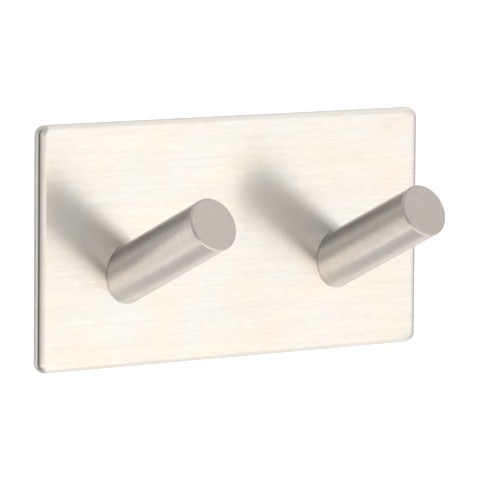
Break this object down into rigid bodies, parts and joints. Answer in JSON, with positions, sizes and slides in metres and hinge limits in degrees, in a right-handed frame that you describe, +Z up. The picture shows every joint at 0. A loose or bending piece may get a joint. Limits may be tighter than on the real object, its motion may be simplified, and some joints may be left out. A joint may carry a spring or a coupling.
{
  "type": "double robe hook",
  "caption": "Oblong brushed steel wall plate with solid round pegs side by side, tilted upward, and a foam adhesive pad behind it, to hang robes or towels.",
  "frame": {"origin": "centre of the pad's back face, the face that sticks to the wall", "axes": "+Z up the wall, +Y into the wall, +X to the right as seen from the front, along the plate's length; the pegs stand out towards -Y"},
  "size_m": [0.09, 0.0289, 0.045],
  "materials": {
    "plate_steel": "satin",
    "peg_steel": "satin",
    "screw_steel": "satin",
    "foam_tape": "matte"
  },
  "bodies": {
    "root": {"base_plate": "plate_steel", "left_peg": "peg_steel", "right_peg": "peg_steel", "left_peg_screw": "screw_steel", "right_peg_screw": "screw_steel", "adhesive_pad": "foam_tape"}
  },
  "joints": []
}
